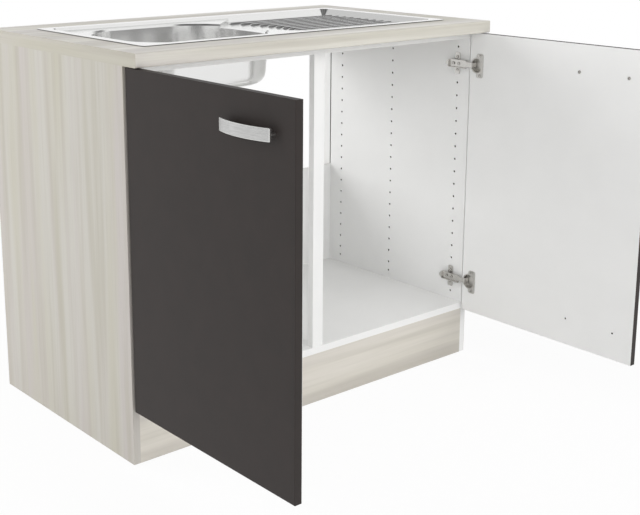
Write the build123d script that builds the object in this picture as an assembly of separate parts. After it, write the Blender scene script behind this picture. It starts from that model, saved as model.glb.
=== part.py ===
from build123d import *

import os
from math import cos, pi, radians, sin, sqrt, tan

# Kitchen sink base unit: a board carcass with two hinged doors, a worktop with an inset steel sink,
# four cup hinges, two bow handles and a basket waste. Millimetres.
# x runs to the right, y from the front to the wall, z up from the floor.
# Both doors are drawn open at a right angle, which is the pose that every joint counts from.

# ---------------------------------------------------------------- carcass
UNIT_WIDTH = 1000.0
CARCASS_DEPTH = 548.0
CARCASS_HEIGHT = 820.0
SIDE_THICKNESS = 16.0
SHELF_THICKNESS = 16.0
SHELF_SETBACK = 50.0
PLINTH_HEIGHT = 118.0
PLINTH_THICKNESS = 16.0
FRONT_RAIL_THICKNESS = 16.0
FRONT_RAIL_DEPTH = 30.0
REAR_RAIL_THICKNESS = 16.0
REAR_RAIL_HEIGHT = 80.0
POST_WIDTH = 30.0
POST_THICKNESS = 16.0
POST_SETBACK = 2.0
BACK_THICKNESS = 3.0
BACK_TOP = 411.0
BACK_OVERHANG = 12.0
GROOVE_WIDTH = 3.5
GROOVE_DEPTH = 8.0
BACK_PLAY = 0.75

# ---------------------------------------------------------------- rows of 5 mm holes in the sides
HOLE_PITCH = 32.0
HOLE_END_MARGIN = 60.0
HOLE_RADIUS = 2.5
HOLE_DEPTH = 12.0
FRONT_COLUMN = 37.0
MIDDLE_COLUMN = 261.0
REAR_COLUMN = 453.0
END_HOLE_STEP = 24.0

# ---------------------------------------------------------------- worktop
WORKTOP_BACK_OVERHANG = 6.0
WORKTOP_THICKNESS = 28.0
WORKTOP_OVERHANG = 46.0
FRONT_EDGE_RADIUS = 3.0

# ---------------------------------------------------------------- doors and hinges
DOOR_THICKNESS = 16.0
DOOR_BOTTOM_GAP = 0.0
DOOR_TOP_GAP = 2.0
DOOR_SIDE_GAP = 1.5
DOOR_BACK_GAP = 3.0
DOOR_EDGE_RADIUS = 1.0
PIVOT_FROM_EDGE = 7.2
PIVOT_FROM_BACK = 9.8
CUP_RADIUS = 17.5
CUP_EDGE_DISTANCE = 3.5
CUP_BORE_DEPTH = 12.8
CUP_DEPTH = 12.7
CUP_WALL = 0.6
CUP_CLEARANCE = 0.05
FLANGE_THICKNESS = 1.2
FLANGE_RIM = 2.0
WING_LENGTH = 58.0
WING_WIDTH = 21.0
WING_OFFSET = 8.5
CUP_SCREW_SPACING = 48.0
NOTCH_HALF_WIDTH = 7.4
PIN_RADIUS = 1.0
PIN_CLEARANCE = 0.05
EYE_RADIUS = 1.9
EYE_HALF_WIDTH = 5.0
ARM_SHEET = 1.4
ARM_WIDTH = 12.0
ARM_BODY_WIDTH = 20.0
ARM_DROP = 1.2
ARM_BEND_RADIUS = 1.5
ARM_LIFT = 5.8
ARM_REACH = 66.0
ARM_WALL_HEIGHT = 6.0
ARM_WALL_FRONT = 4.0
ARM_NOSE = 8.0
ARM_SLOT_WIDTH = 4.6
ARM_SLOT_LENGTH = 11.0
PLATE_LENGTH = 53.5
PLATE_WIDTH = 15.0
PLATE_THICKNESS = 2.5
BOSS_LENGTH = 34.0
BOSS_CHAMFER = 1.5
ARM_SCREW_RADIUS = 2.0
PLATE_SCREW_LENGTH = 10.0

# ---------------------------------------------------------------- handles
HANDLE_HOLE_SPACING = 128.0
HANDLE_LENGTH = 135.0
HANDLE_HEIGHT = 23.0
HANDLE_THICKNESS = 3.2
HANDLE_STANDOFF = 10.5
HANDLE_BOW = 11.5
HANDLE_FOOT_RADIUS = 3.25
HANDLE_EDGE_RADIUS = 0.6
HANDLE_FROM_FREE_EDGE = 52.0
HANDLE_FROM_DOOR_TOP = 62.0
HANDLE_HOLE_RADIUS = 2.25
HANDLE_SCREW_RADIUS = 2.0
HANDLE_SCREW_BITE = 8.0
SPARE_HOLE_DEPTH = 12.0

# ---------------------------------------------------------------- sink
SINK_WIDTH = 860.0
SINK_DEPTH = 435.0
SINK_FRONT_MARGIN = 78.5
SINK_CORNER_RADIUS = 12.0
SHEET = 1.0
SEAL_THICKNESS = 0.7
SEAL_WIDTH = 8.0
SEAL_INSET = 2.0
RIM_WIDTH = 22.0
PAN_CORNER_RADIUS = 22.0
WALL_TAPER = 40.0
DECK_DROP = 6.5
TRAY_DROP = 15.0
CUTOUT_INSET = 12.5
CUTOUT_CORNER_RADIUS = 18.0
BOWL_WIDTH = 364.0
BOWL_LENGTH = 312.0
BOWL_DEPTH = 112.0
BOWL_CORNER_RADIUS = 112.0
BOWL_DRAFT = 4.7
BOWL_FLOOR_RADIUS = 25.0
BOWL_LIP = 4.0
BOWL_LIP_TAPER = 45.0
BOWL_LEFT_MARGIN = 54.0
BOWL_FRONT_MARGIN = 57.5
THROAT_OVERLAP = 28.0
THROAT_CUT = 120.0
RIB_COUNT = 11
RIB_PITCH = 27.0
RIB_WIDTH = 21.0
RIB_HEIGHT = 4.5
RIB_TAPER = 60.0
RIB_CROWN_RADIUS = 1.0
RIB_LEFT_MARGIN = 92.0
RIB_RIGHT_MARGIN = 8.0
RIB_END_CURVE = 34.0
CLIP_WIDTH = 14.0
CLIP_SHEET = 2.0
CLIP_GAP = 3.0
CLIP_TOE = 13.0
CLIP_SCREW_REACH = 11.0
CLIP_SCREW_RADIUS = 1.6
CLIP_SPACING = 300.0
SIDE_CLIP_SPACING = 260.0

# ---------------------------------------------------------------- waste and strainer
DRAIN_RADIUS = 43.5
WASTE_RIM_RADIUS = 56.0
WASTE_SHEET = 1.0
WASTE_CUP_RADIUS = 42.5
WASTE_CUP_DEPTH = 34.0
WASTE_HOLE_COUNT = 8
WASTE_HOLE_RADIUS = 7.0
WASTE_HOLE_CIRCLE = 27.0
GASKET_THICKNESS = 3.0
BODY_WALL = 3.0
BODY_RADIUS = 56.0
BODY_CLEARANCE = 2.0
BODY_DEPTH = 46.0
OUTLET_RADIUS = 23.9
OUTLET_BORE_RADIUS = 20.0
OUTLET_LENGTH = 25.0
SPIDER_WIDTH = 7.0
WASTE_SCREW_RADIUS = 3.0
BASKET_RADIUS = 38.0
BASKET_RIM_RADIUS = 41.0
BASKET_SHEET = 1.0
BASKET_DEPTH = 24.0
BASKET_SEAL_THICKNESS = 4.5
BASKET_HOLE_RADIUS = 2.0
BASKET_HOLE_PITCH = 8.0
BASKET_HOLE_CIRCLES = (30.0, 20.0)
BASKET_SEAL_RADIUS = 17.0
BASKET_SEAL_WIDTH = 9.0
KNOB_RADIUS = 7.0
STEM_RADIUS = 3.5
STEM_HEIGHT = 10.0
KNOB_HEIGHT = 6.0

# ---------------------------------------------------------------- fixings
DOWEL_RADIUS = 4.0
DOWEL_MARGIN = 90.0
DOWEL_IN_SIDE = 10.0
DOWEL_IN_BOARD = 20.0
CAM_RADIUS = 7.5
CAM_HEIGHT = 12.5
CAM_FROM_END = 24.0
CAM_MARGIN = 50.0
CAM_BOLT_RADIUS = 3.0
BRACKET_LEG = 22.0
BRACKET_WIDTH = 18.0
BRACKET_SHEET = 2.0
BRACKET_HOLE_OFFSET = 13.0
SIDE_BRACKET_MARGIN = 150.0
REAR_BRACKET_SPACING = 520.0
WOOD_SCREW_RADIUS = 1.75
WOOD_SCREW_LENGTH = 12.0
SCREW_HEAD_RADIUS = 3.8
SCREW_HEAD_HEIGHT = 2.2
SCREW_HEAD_ROUND = 0.8
RECESS_LENGTH = 4.4
RECESS_WIDTH = 1.1
RECESS_DEPTH = 1.5
NAIL_RADIUS = 0.8
NAIL_LENGTH = 16.0
NAIL_COUNT = 7
NAIL_MARGIN = 40.0
THROUGH = 0.5
TURN = 360.0

# ---------------------------------------------------------------- places worked out from the sizes
HALF_WIDTH = UNIT_WIDTH / 2
INNER_X = HALF_WIDTH - SIDE_THICKNESS
SHELF_DEPTH = CARCASS_DEPTH - SHELF_SETBACK
WORKTOP_BACK = CARCASS_DEPTH + WORKTOP_BACK_OVERHANG
SHELF_TOP = PLINTH_HEIGHT + SHELF_THICKNESS
WORKTOP_TOP = CARCASS_HEIGHT + WORKTOP_THICKNESS
RAIL_UNDERSIDE = CARCASS_HEIGHT - FRONT_RAIL_THICKNESS

DOOR_BOTTOM = PLINTH_HEIGHT + DOOR_BOTTOM_GAP
DOOR_TOP = CARCASS_HEIGHT - DOOR_TOP_GAP
DOOR_MIDDLE = (DOOR_BOTTOM + DOOR_TOP) / 2
DOOR_HEIGHT = DOOR_TOP - DOOR_BOTTOM
DOOR_WIDTH = HALF_WIDTH - 2 * DOOR_SIDE_GAP
PIVOT_X = HALF_WIDTH - DOOR_SIDE_GAP - PIVOT_FROM_EDGE
PIVOT_Y = -DOOR_BACK_GAP - PIVOT_FROM_BACK
DOOR_BACK_X = PIVOT_X - PIVOT_FROM_BACK
DOOR_FRONT_X = DOOR_BACK_X + DOOR_THICKNESS
DOOR_HINGE_Y = PIVOT_Y + PIVOT_FROM_EDGE
DOOR_FREE_Y = DOOR_HINGE_Y - DOOR_WIDTH
CUP_Y = DOOR_HINGE_Y - CUP_EDGE_DISTANCE - CUP_RADIUS
HOLE_ROWS = 1 + 2 * int((DOOR_HEIGHT / 2 - HOLE_END_MARGIN) / HOLE_PITCH)
LOWEST_ROW = DOOR_MIDDLE - (HOLE_ROWS - 1) * HOLE_PITCH / 2
HIGHEST_ROW = DOOR_MIDDLE + (HOLE_ROWS - 1) * HOLE_PITCH / 2
HINGE_HEIGHTS = {"lower": LOWEST_ROW + HOLE_PITCH / 2, "upper": HIGHEST_ROW - HOLE_PITCH / 2}
HANDLE_Z = DOOR_TOP - HANDLE_FROM_DOOR_TOP
SPARE_HOLE_Z = DOOR_BOTTOM + HANDLE_FROM_DOOR_TOP
HANDLE_Y = DOOR_FREE_Y + HANDLE_FROM_FREE_EDGE + HANDLE_HOLE_SPACING / 2

SINK_FRONT = SINK_FRONT_MARGIN - WORKTOP_OVERHANG
SINK_Y = SINK_FRONT + SINK_DEPTH / 2
RIM_TOP = WORKTOP_TOP + SEAL_THICKNESS + SHEET
PAN_WIDTH = SINK_WIDTH - 2 * RIM_WIDTH
PAN_LENGTH = SINK_DEPTH - 2 * RIM_WIDTH
DECK_TOP = RIM_TOP - DECK_DROP
TRAY_TOP = RIM_TOP - TRAY_DROP
TRAY_WALL_RUN = TRAY_DROP * tan(radians(WALL_TAPER))
BOWL_X = -SINK_WIDTH / 2 + BOWL_LEFT_MARGIN + BOWL_WIDTH / 2
BOWL_Y = SINK_FRONT + BOWL_FRONT_MARGIN + BOWL_LENGTH / 2
BOWL_RIGHT = BOWL_X + BOWL_WIDTH / 2
BOWL_FLOOR = DECK_TOP - BOWL_DEPTH
CUTOUT_WIDTH = SINK_WIDTH - 2 * CUTOUT_INSET
CUTOUT_LENGTH = SINK_DEPTH - 2 * CUTOUT_INSET
WASTE_CUP_FLOOR = BOWL_FLOOR + WASTE_SHEET - WASTE_CUP_DEPTH
BODY_TOP = BOWL_FLOOR - SHEET - GASKET_THICKNESS
BODY_FLOOR = BODY_TOP - BODY_DEPTH
BASKET_FLOOR = WASTE_CUP_FLOOR + WASTE_SHEET + BASKET_SEAL_THICKNESS

# The origin is under the middle of the whole unit with its doors open: every piece is moved by this much.
MIDDLE_Y = (DOOR_FREE_Y + WORKTOP_BACK) / 2


# ---------------------------------------------------------------- helpers
AXES = {
    "+X": (1, 0, 0), "-X": (-1, 0, 0),
    "+Y": (0, 1, 0), "-Y": (0, -1, 0),
    "+Z": (0, 0, 1), "-Z": (0, 0, -1),
}
OPPOSITE = {"+X": "-X", "-X": "+X", "+Y": "-Y", "-Y": "+Y", "+Z": "-Z", "-Z": "+Z"}


def box(x, y, z):
    """A block from three (low, high) pairs."""
    size = [high - low for low, high in (x, y, z)]
    centre = [(high + low) / 2 for low, high in (x, y, z)]
    return Pos(*centre) * Box(*size)


def rod(start, axis, length, radius):
    """A round bar from a start point along an axis of AXES."""
    return extrude(Plane(origin=start, z_dir=AXES[axis]) * Circle(radius), length)


def slab(width, length, radius, centre, z):
    """A plate with round corners, from a (low, high) pair of heights."""
    outline = RectangleRounded(width, length, radius)
    return Pos(centre[0], centre[1], z[0]) * extrude(outline, z[1] - z[0])


def mirrored(shape):
    """The same piece on the left side of the unit."""
    return mirror(shape, about=Plane.YZ)


def on_both_sides(shapes):
    return list(shapes) + [mirrored(shape) for shape in shapes]


def cut(shape, tools):
    for tool in tools:
        shape = shape - tool
    return shape


def screw(head_base, axis, length, radius):
    """A pan-head screw with a cross recess. Its axis points into the wood from the base of its head."""
    head = rod(head_base, OPPOSITE[axis], SCREW_HEAD_HEIGHT, SCREW_HEAD_RADIUS)
    top = [base + SCREW_HEAD_HEIGHT * step for base, step in zip(head_base, AXES[OPPOSITE[axis]])]
    circles = head.edges().filter_by(GeomType.CIRCLE)
    rim = [edge for edge in circles if (edge.arc_center - Vector(*top)).length < THROUGH]
    head = fillet(rim, SCREW_HEAD_ROUND)
    cross = Rectangle(RECESS_LENGTH, RECESS_WIDTH) + Rectangle(RECESS_WIDTH, RECESS_LENGTH)
    recess = extrude(Plane(origin=top, z_dir=AXES[axis]) * cross, RECESS_DEPTH)
    return rod(head_base, axis, length, radius) + (head - recess)


def save(name, *pieces):
    """Writes one node, which may be a group of separate solids, moved to the unit's origin."""
    solids = []
    for piece in pieces:
        solids += [Pos(0, -MIDDLE_Y, 0) * solid for solid in piece.solids()]
    shape = solids[0] if len(solids) == 1 else Compound(children=solids)
    export_step(shape, f"parts/{name}.step")


# ---------------------------------------------------------------- dowels, cams and bolts in the boards
def end_dowels():
    """Beech dowels that join the boards' right ends to the right side."""
    shelf_z = PLINTH_HEIGHT + SHELF_THICKNESS / 2
    places = [(DOWEL_MARGIN, shelf_z), (SHELF_DEPTH - DOWEL_MARGIN, shelf_z)]
    places += [(PLINTH_THICKNESS / 2, PLINTH_HEIGHT * 0.3)]
    places += [(FRONT_RAIL_DEPTH * 0.7, CARCASS_HEIGHT - FRONT_RAIL_THICKNESS / 2)]
    places += [(CARCASS_DEPTH - REAR_RAIL_THICKNESS / 2, CARCASS_HEIGHT - REAR_RAIL_HEIGHT * 0.75)]
    start = INNER_X - DOWEL_IN_BOARD
    length = DOWEL_IN_BOARD + DOWEL_IN_SIDE
    return [rod((start, y, z), "+X", length, DOWEL_RADIUS) for y, z in places]


def post_dowels():
    """Two upright dowels that hold the centre post between the shelf and the front rail."""
    middle = POST_SETBACK + POST_THICKNESS / 2
    length = DOWEL_IN_SIDE + DOWEL_IN_BOARD
    low = rod((0, middle, SHELF_TOP - DOWEL_IN_SIDE), "+Z", length, DOWEL_RADIUS)
    high = rod((0, middle, RAIL_UNDERSIDE - DOWEL_IN_BOARD), "+Z", length, DOWEL_RADIUS)
    return [low, high]


def cam_places():
    """(y, z) of each cam bolt at a right end, with the cam disc's face and the way that it faces."""
    shelf_z = PLINTH_HEIGHT + SHELF_THICKNESS / 2
    plinth_z = PLINTH_HEIGHT * 0.7
    rail_y = CARCASS_DEPTH - REAR_RAIL_THICKNESS / 2
    rail_z = CARCASS_HEIGHT - REAR_RAIL_HEIGHT * 0.35
    shelf_y = (CAM_MARGIN, SHELF_DEPTH / 2, SHELF_DEPTH - CAM_MARGIN)
    places = [(y, shelf_z, (y, PLINTH_HEIGHT), "+Z") for y in shelf_y]
    places += [(PLINTH_THICKNESS / 2, plinth_z, (PLINTH_THICKNESS, plinth_z), "-Y")]
    places += [(rail_y, rail_z, (CARCASS_DEPTH, rail_z), "-Y")]
    return places


def cam_bolts():
    start = INNER_X - CAM_FROM_END
    length = CAM_FROM_END + DOWEL_IN_SIDE
    return [rod((start, y, z), "+X", length, CAM_BOLT_RADIUS) for y, z, _, _ in cam_places()]


def cam_discs():
    x = INNER_X - CAM_FROM_END
    return [rod((x, *face), axis, CAM_HEIGHT, CAM_RADIUS) for _, _, face, axis in cam_places()]


END_DOWELS = end_dowels()
POST_DOWELS = post_dowels()
CAM_BOLTS = cam_bolts()
CAM_DISCS = cam_discs()
END_FIXINGS = on_both_sides(END_DOWELS + CAM_BOLTS + CAM_DISCS)


# ---------------------------------------------------------------- angle brackets under the worktop
def bracket_frames():
    """Place and turn of each bracket: one leg on a board and the other under the worktop."""
    side_y = (SIDE_BRACKET_MARGIN, CARCASS_DEPTH - SIDE_BRACKET_MARGIN)
    side = [Pos(INNER_X, y, CARCASS_HEIGHT) for y in side_y]
    other_side = [Pos(-INNER_X, y, CARCASS_HEIGHT) * Rot(0, 0, 180) for y in side_y]
    rear_face = CARCASS_DEPTH - REAR_RAIL_THICKNESS
    rear_x = (-REAR_BRACKET_SPACING / 2, REAR_BRACKET_SPACING / 2)
    rear = [Pos(x, rear_face, CARCASS_HEIGHT) * Rot(0, 0, 90) for x in rear_x]
    return side + other_side + rear


def bracket():
    half = BRACKET_WIDTH / 2
    middle = -BRACKET_HOLE_OFFSET
    upright = box((-BRACKET_SHEET, 0), (-half, half), (-BRACKET_LEG, 0))
    level = box((-BRACKET_LEG, 0), (-half, half), (-BRACKET_SHEET, 0))
    holes = [
        rod((-BRACKET_SHEET - THROUGH, 0, middle), "+X", BRACKET_SHEET + 2 * THROUGH, WOOD_SCREW_RADIUS),
        rod((middle, 0, -BRACKET_SHEET - THROUGH), "+Z", BRACKET_SHEET + 2 * THROUGH, WOOD_SCREW_RADIUS),
    ]
    return cut(upright + level, holes)


def bracket_screws():
    middle = -BRACKET_HOLE_OFFSET
    length = WOOD_SCREW_LENGTH + BRACKET_SHEET
    into_board = screw((-BRACKET_SHEET, 0, middle), "+X", length, WOOD_SCREW_RADIUS)
    into_worktop = screw((middle, 0, -BRACKET_SHEET), "+Z", length, WOOD_SCREW_RADIUS)
    return [into_board, into_worktop]


BRACKETS = [frame * bracket() for frame in bracket_frames()]
BRACKET_SCREWS = [frame * piece for frame in bracket_frames() for piece in bracket_screws()]


# ---------------------------------------------------------------- nails of the back panel
def back_nails():
    """Short nails through the back panel into the shelf's rear edge."""
    y = SHELF_DEPTH + BACK_THICKNESS
    z = PLINTH_HEIGHT + SHELF_THICKNESS / 2
    first = NAIL_MARGIN - INNER_X
    step = -2 * first / (NAIL_COUNT - 1)
    return [rod((first + step * i, y, z), "-Y", NAIL_LENGTH, NAIL_RADIUS) for i in range(NAIL_COUNT)]


BACK_NAILS = back_nails()


# ---------------------------------------------------------------- hinges, drawn for the right side
def plate_screws(z):
    face = INNER_X - PLATE_THICKNESS
    length = PLATE_THICKNESS + PLATE_SCREW_LENGTH
    heights = (z - HOLE_PITCH / 2, z + HOLE_PITCH / 2)
    return [screw((face, FRONT_COLUMN, height), "+X", length, HOLE_RADIUS) for height in heights]


def hinge_plate(z):
    """The winged plate on the side panel, with a raised boss that carries the arm."""
    half = PLATE_WIDTH / 2
    wings = box(
        (INNER_X - PLATE_THICKNESS, INNER_X),
        (FRONT_COLUMN - half, FRONT_COLUMN + half),
        (z - PLATE_LENGTH / 2, z + PLATE_LENGTH / 2),
    )
    wings = fillet(wings.edges().filter_by(Axis.X), PLATE_WIDTH / 4)
    boss = box(
        (INNER_X - ARM_LIFT, INNER_X),
        (FRONT_COLUMN - BOSS_LENGTH / 2, FRONT_COLUMN + BOSS_LENGTH / 2),
        (z - ARM_WIDTH / 2, z + ARM_WIDTH / 2),
    )
    boss = chamfer(boss.edges().filter_by(Axis.X), BOSS_CHAMFER)
    return cut(wings + boss, plate_screws(z) + arm_screws(z))


def arm_screws(z):
    """The clamping screw and the adjusting screw through the arm into the plate's boss."""
    face = INNER_X - ARM_LIFT - ARM_SHEET
    places = (FRONT_COLUMN - BOSS_LENGTH / 4, FRONT_COLUMN + BOSS_LENGTH / 4)
    return [screw((face, y, z), "+X", ARM_SHEET + ARM_LIFT * 0.7, ARM_SCREW_RADIUS) for y in places]


def hinge_arm(z):
    """A pressed steel arm. Its front end turns into the cup and rolls round the pivot pin."""
    half = ARM_SHEET / 2
    level = PIVOT_Y - ARM_DROP
    run = INNER_X - ARM_LIFT - half
    path = FilletPolyline((PIVOT_X, level), (run, level), (run, ARM_REACH), radius=ARM_BEND_RADIUS)
    strip = Pos(0, 0, z - ARM_WIDTH / 2) * extrude(trace(path, ARM_SHEET), ARM_WIDTH)
    eye = rod((PIVOT_X, PIVOT_Y, z - EYE_HALF_WIDTH), "+Z", 2 * EYE_HALF_WIDTH, EYE_RADIUS)
    front = PIVOT_X - 3 * EYE_RADIUS
    for low, high in ((z - ARM_WIDTH, z - EYE_HALF_WIDTH), (z + EYE_HALF_WIDTH, z + ARM_WIDTH)):
        strip -= box((front, PIVOT_X + ARM_WIDTH), (level - ARM_WIDTH, PIVOT_Y), (low, high))
    bore = rod((PIVOT_X, PIVOT_Y, z - ARM_WIDTH), "+Z", 2 * ARM_WIDTH, PIN_RADIUS + PIN_CLEARANCE)
    outer = INNER_X - ARM_LIFT
    half_body = ARM_BODY_WIDTH / 2
    body_x = (outer - ARM_WALL_HEIGHT, outer)
    body = box(body_x, (ARM_WALL_FRONT, ARM_REACH), (z - half_body, z + half_body))
    rear_edges = [edge for edge in body.edges().filter_by(Axis.X) if edge.center().Y > ARM_REACH / 2]
    body = chamfer(rear_edges, ARM_NOSE)
    body -= box(
        (outer - ARM_WALL_HEIGHT - THROUGH, outer - ARM_SHEET),
        (ARM_WALL_FRONT - THROUGH, ARM_REACH - ARM_NOSE),
        (z - half_body + ARM_SHEET, z + half_body - ARM_SHEET),
    )
    slot_y = FRONT_COLUMN + BOSS_LENGTH / 4
    slot = box(
        (outer - ARM_SHEET - THROUGH, outer + THROUGH),
        (slot_y - ARM_SLOT_LENGTH / 2, slot_y + ARM_SLOT_LENGTH / 2),
        (z - ARM_SLOT_WIDTH / 2, z + ARM_SLOT_WIDTH / 2),
    )
    return cut(strip + eye + body, [bore, slot] + arm_screws(z))


def cup_screws(z):
    y = CUP_Y - WING_OFFSET
    face = DOOR_BACK_X - FLANGE_THICKNESS
    length = WOOD_SCREW_LENGTH
    half = CUP_SCREW_SPACING / 2
    return [screw((face, y, z + step), "+X", length, WOOD_SCREW_RADIUS) for step in (-half, half)]


def hinge_cup(z):
    """The pressed cup in the door, with its winged flange and a notch for the arm."""
    face = DOOR_BACK_X - FLANGE_THICKNESS
    shell = rod((face, CUP_Y, z), "+X", FLANGE_THICKNESS + CUP_DEPTH, CUP_RADIUS - CUP_CLEARANCE)
    ring = rod((face, CUP_Y, z), "+X", FLANGE_THICKNESS, CUP_RADIUS + FLANGE_RIM)
    y = CUP_Y - WING_OFFSET
    wing_y = (y - WING_WIDTH / 2, y + WING_WIDTH / 2)
    wings = box((face, DOOR_BACK_X), wing_y, (z - WING_LENGTH / 2, z + WING_LENGTH / 2))
    wings = fillet(wings.edges().filter_by(Axis.X), WING_WIDTH / 4)
    hollow_depth = FLANGE_THICKNESS + CUP_DEPTH - CUP_WALL
    hollow_radius = CUP_RADIUS - CUP_CLEARANCE - CUP_WALL
    hollow = rod((face - THROUGH, CUP_Y, z), "+X", hollow_depth + THROUGH, hollow_radius)
    notch = box(
        (face - THROUGH, DOOR_BACK_X + CUP_DEPTH / 2),
        (PIVOT_Y, DOOR_HINGE_Y + THROUGH),
        (z - NOTCH_HALF_WIDTH, z + NOTCH_HALF_WIDTH),
    )
    return cut(shell + ring + wings, [hollow, notch, hinge_pin(z)] + cup_screws(z))


def hinge_pin(z):
    """The pivot pin, held by the cup's wall at both ends."""
    outer = CUP_RADIUS - CUP_CLEARANCE
    off_centre = PIVOT_Y - CUP_Y
    half = sqrt(outer**2 - (off_centre + PIN_RADIUS) ** 2)
    return rod((PIVOT_X, PIVOT_Y, z - half), "+Z", 2 * half, PIN_RADIUS)


# ---------------------------------------------------------------- boards
def system_holes():
    """The three columns of shelf holes in the right side."""
    rows = [LOWEST_ROW + HOLE_PITCH * i for i in range(HOLE_ROWS)]
    rows += [LOWEST_ROW - END_HOLE_STEP, HIGHEST_ROW + END_HOLE_STEP]
    columns = (FRONT_COLUMN, MIDDLE_COLUMN, REAR_COLUMN)
    mouth = INNER_X - THROUGH
    return [rod((mouth, y, z), "+X", HOLE_DEPTH + THROUGH, HOLE_RADIUS) for y in columns for z in rows]


def side_panel():
    """The right side, without what is only in one of the two."""
    panel = box((INNER_X, HALF_WIDTH), (0, CARCASS_DEPTH), (0, CARCASS_HEIGHT))
    groove_front = SHELF_DEPTH - (GROOVE_WIDTH - BACK_THICKNESS) / 2
    groove = box(
        (INNER_X - THROUGH, INNER_X + GROOVE_DEPTH),
        (groove_front, groove_front + GROOVE_WIDTH),
        (-THROUGH, CARCASS_HEIGHT + THROUGH),
    )
    return cut(panel, [groove] + system_holes() + END_DOWELS + CAM_BOLTS)


def bottom_shelf():
    board = box((-INNER_X, INNER_X), (0, SHELF_DEPTH), (PLINTH_HEIGHT, SHELF_TOP))
    return cut(board, END_FIXINGS + POST_DOWELS + BACK_NAILS)


def plinth_panel():
    board = box((-INNER_X, INNER_X), (0, PLINTH_THICKNESS), (0, PLINTH_HEIGHT))
    return cut(board, END_FIXINGS)


def front_rail():
    board = box((-INNER_X, INNER_X), (0, FRONT_RAIL_DEPTH), (RAIL_UNDERSIDE, CARCASS_HEIGHT))
    return cut(board, END_FIXINGS + POST_DOWELS)


def rear_rail():
    front = CARCASS_DEPTH - REAR_RAIL_THICKNESS
    low = CARCASS_HEIGHT - REAR_RAIL_HEIGHT
    board = box((-INNER_X, INNER_X), (front, CARCASS_DEPTH), (low, CARCASS_HEIGHT))
    return cut(board, END_FIXINGS + BRACKET_SCREWS)


def centre_post():
    half = POST_WIDTH / 2
    board = box((-half, half), (POST_SETBACK, POST_SETBACK + POST_THICKNESS), (SHELF_TOP, RAIL_UNDERSIDE))
    return cut(board, POST_DOWELS)


def back_panel():
    half = INNER_X + GROOVE_DEPTH - BACK_PLAY
    low = PLINTH_HEIGHT - BACK_OVERHANG
    board = box((-half, half), (SHELF_DEPTH, SHELF_DEPTH + BACK_THICKNESS), (low, BACK_TOP))
    return cut(board, BACK_NAILS)


def worktop():
    """The laminated worktop, with rolled front edges and the sink's cut-out."""
    board = box(
        (-HALF_WIDTH, HALF_WIDTH), (-WORKTOP_OVERHANG, WORKTOP_BACK), (CARCASS_HEIGHT, WORKTOP_TOP)
    )
    front_edges = [edge for edge in board.edges().filter_by(Axis.X) if edge.center().Y < 0]
    board = fillet(front_edges, FRONT_EDGE_RADIUS)
    opening = slab(
        CUTOUT_WIDTH, CUTOUT_LENGTH, CUTOUT_CORNER_RADIUS, (0, SINK_Y),
        (CARCASS_HEIGHT - THROUGH, WORKTOP_TOP + THROUGH),
    )
    return cut(board, [opening] + BRACKET_SCREWS)


# ---------------------------------------------------------------- door and handle, drawn for the right
def handle_hole_places():
    return [HANDLE_Y - HANDLE_HOLE_SPACING / 2, HANDLE_Y + HANDLE_HOLE_SPACING / 2]


def handle_screws():
    length = DOOR_THICKNESS + HANDLE_SCREW_BITE
    places = [(DOOR_BACK_X, y, HANDLE_Z) for y in handle_hole_places()]
    return [screw(place, "+X", length, HANDLE_SCREW_RADIUS) for place in places]


def door():
    """A coated board, drilled for the two cups and the handle, and for a handle at its other end."""
    board = box((DOOR_BACK_X, DOOR_FRONT_X), (DOOR_FREE_Y, DOOR_HINGE_Y), (DOOR_BOTTOM, DOOR_TOP))
    front_edges = [edge for edge in board.edges() if edge.center().X > DOOR_FRONT_X - THROUGH]
    board = fillet(front_edges, DOOR_EDGE_RADIUS)
    mouth = DOOR_BACK_X - THROUGH
    holes = []
    for z in HINGE_HEIGHTS.values():
        holes += [rod((mouth, CUP_Y, z), "+X", CUP_BORE_DEPTH + THROUGH, CUP_RADIUS)]
        holes += cup_screws(z)
    for y in handle_hole_places():
        holes += [rod((mouth, y, HANDLE_Z), "+X", DOOR_THICKNESS + 2 * THROUGH, HANDLE_HOLE_RADIUS)]
        holes += [rod((mouth, y, SPARE_HOLE_Z), "+X", SPARE_HOLE_DEPTH + THROUGH, HANDLE_HOLE_RADIUS)]
    return cut(board, holes)


def handle():
    """A bowed flat bar on two round feet, cast in one piece."""
    half = HANDLE_LENGTH / 2
    bow_radius = (half**2 + HANDLE_BOW**2) / (2 * HANDLE_BOW)
    end_x = DOOR_FRONT_X + HANDLE_STANDOFF
    centre_x = end_x + HANDLE_BOW - bow_radius
    outer = Pos(centre_x, HANDLE_Y) * Circle(bow_radius + HANDLE_THICKNESS)
    inner = Pos(centre_x, HANDLE_Y) * Circle(bow_radius)
    window = Pos(end_x + 2 * HANDLE_BOW, HANDLE_Y) * Rectangle(6 * HANDLE_BOW, HANDLE_LENGTH)
    bar = Pos(0, 0, HANDLE_Z - HANDLE_HEIGHT / 2) * extrude((outer - inner) & window, HANDLE_HEIGHT)
    outer_edges = [edge for edge in bar.edges() if edge.center().X > end_x + THROUGH]
    bar = fillet(outer_edges, HANDLE_EDGE_RADIUS)
    for y in handle_hole_places():
        reach = sqrt(bow_radius**2 - (y - HANDLE_Y) ** 2) + centre_x - DOOR_FRONT_X
        foot_length = reach + HANDLE_THICKNESS / 2
        bar += rod((DOOR_FRONT_X, y, HANDLE_Z), "+X", foot_length, HANDLE_FOOT_RADIUS)
    return cut(bar, handle_screws())


# ---------------------------------------------------------------- sink
# Each hollow is drawn as a plug. The same plug, grown by the sheet, is the outside of the pressing.
def plug(top, drop, size, radius, centre, taper):
    outline = RectangleRounded(size[0], size[1], radius)
    return Pos(centre[0], centre[1], top) * extrude(outline, -drop, taper=taper)


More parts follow.
